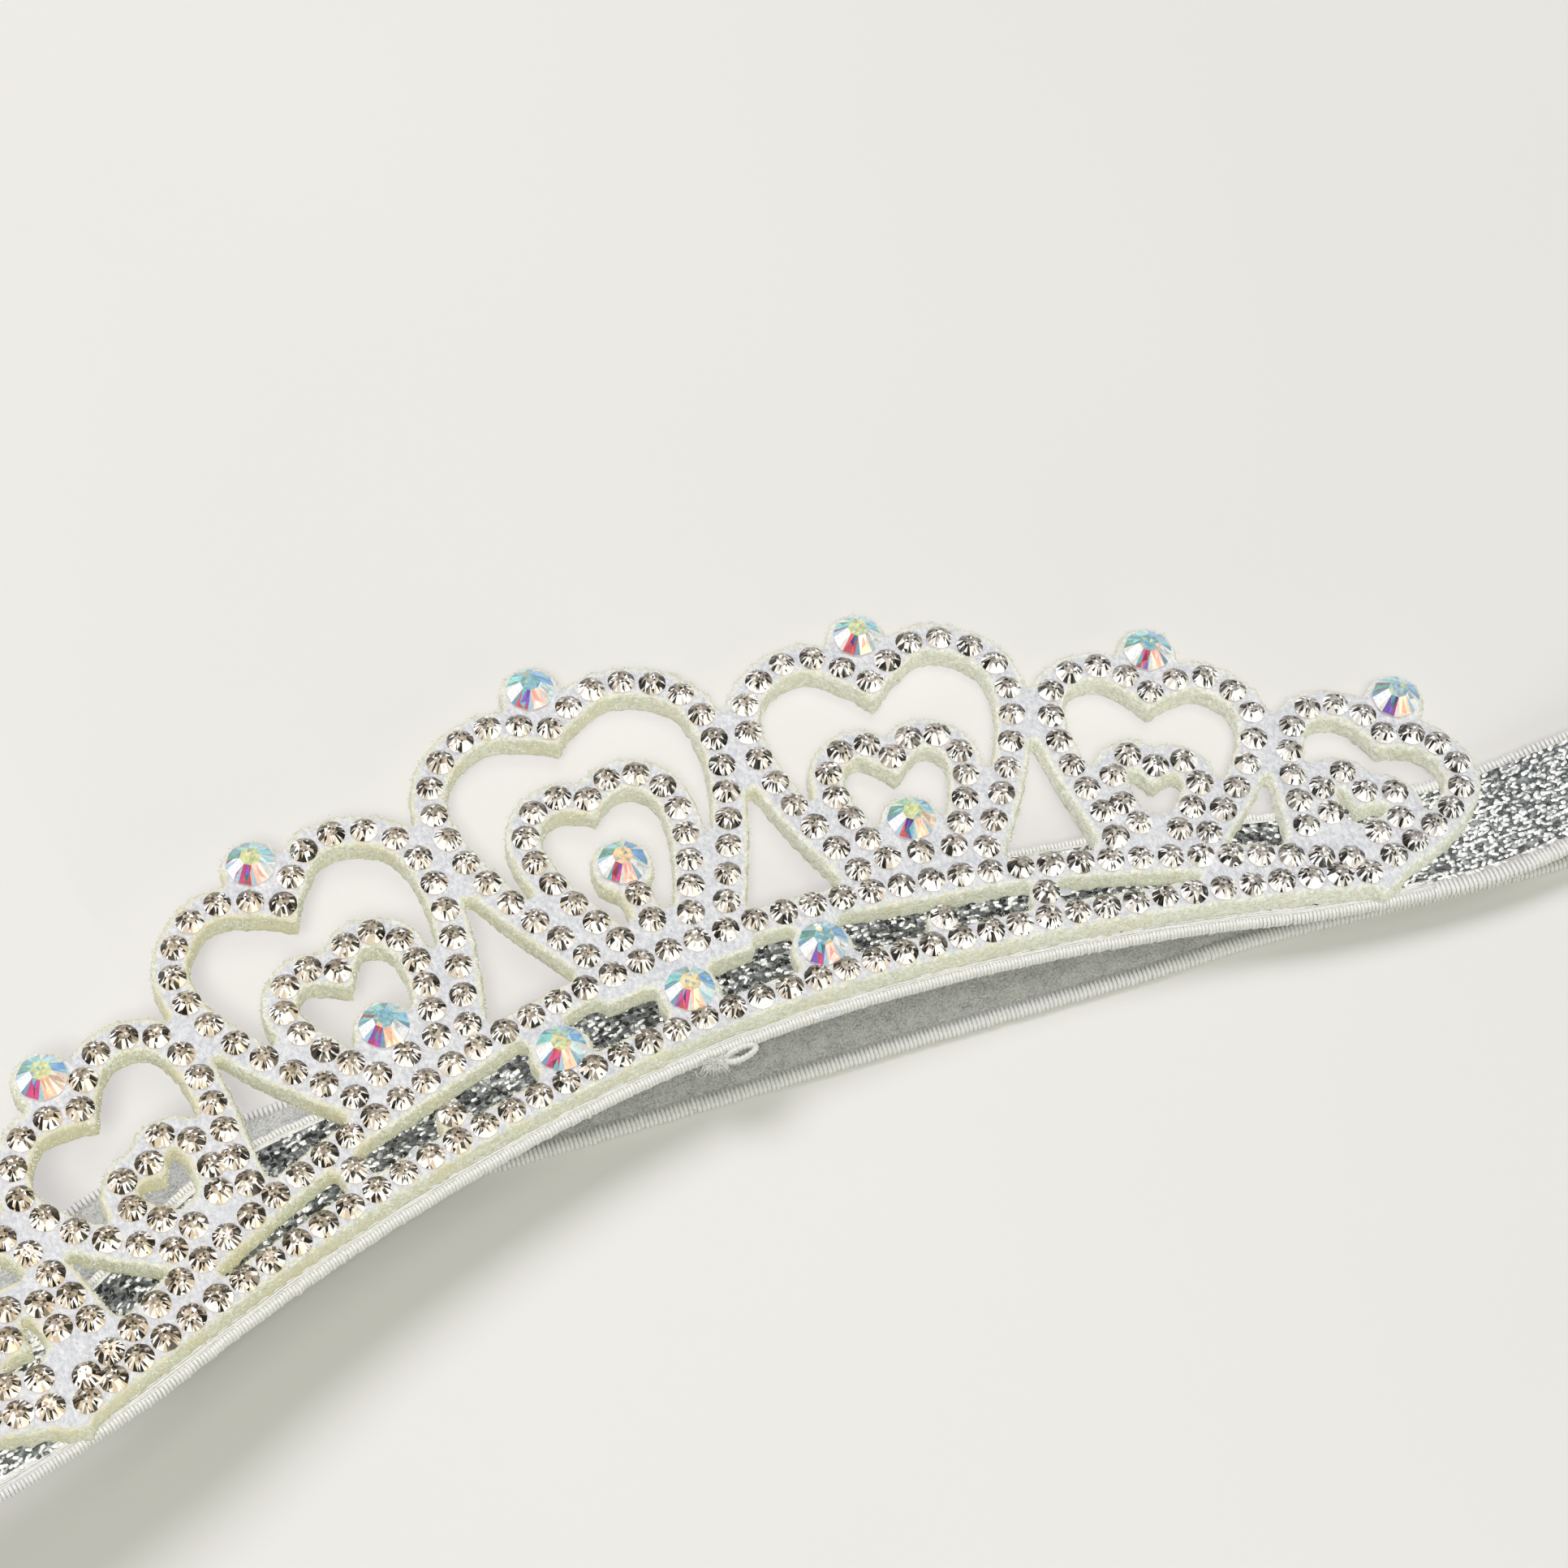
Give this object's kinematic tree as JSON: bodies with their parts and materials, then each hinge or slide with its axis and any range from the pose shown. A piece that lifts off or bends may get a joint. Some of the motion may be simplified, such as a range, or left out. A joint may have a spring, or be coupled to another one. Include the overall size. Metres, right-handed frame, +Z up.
{
  "type": "mini crown headband",
  "caption": "Mini crown headband: a pierced felt crown of joined hearts edged with cut stones, glued to a flat glitter elastic loop and laid on its back",
  "frame": {"origin": "on the underside of the back stretch of the elastic, below the middle of the crown", "axes": "X runs along the crown to its right end, Y from its rails to its heart tips, Z up from the surface it lies on"},
  "size_m": [0.221, 0.0622, 0.0181],
  "materials": {
    "felt": "thick white felt with a soft nap and cream cut edges",
    "elastic": "woven elastic, silver glitter outside and plain plush inside",
    "clear_stone": "foil-backed cut glass",
    "rainbow_stone": "foil-backed cut glass with a rainbow coating"
  },
  "bodies": {
    "root": {"felt_crown": "felt", "elastic_loop": "elastic", "outline_stones": "clear_stone", "inner_stones": "clear_stone", "top_stone_1": "rainbow_stone", "top_stone_2": "rainbow_stone", "top_stone_3": "rainbow_stone", "top_stone_4": "rainbow_stone", "top_stone_5": "rainbow_stone", "top_stone_6": "rainbow_stone", "top_stone_7": "rainbow_stone", "heart_stone_1": "rainbow_stone", "heart_stone_2": "rainbow_stone", "heart_stone_3": "rainbow_stone", "rail_stone_1": "rainbow_stone", "rail_stone_2": "rainbow_stone", "rail_stone_3": "rainbow_stone"}
  },
  "joints": []
}
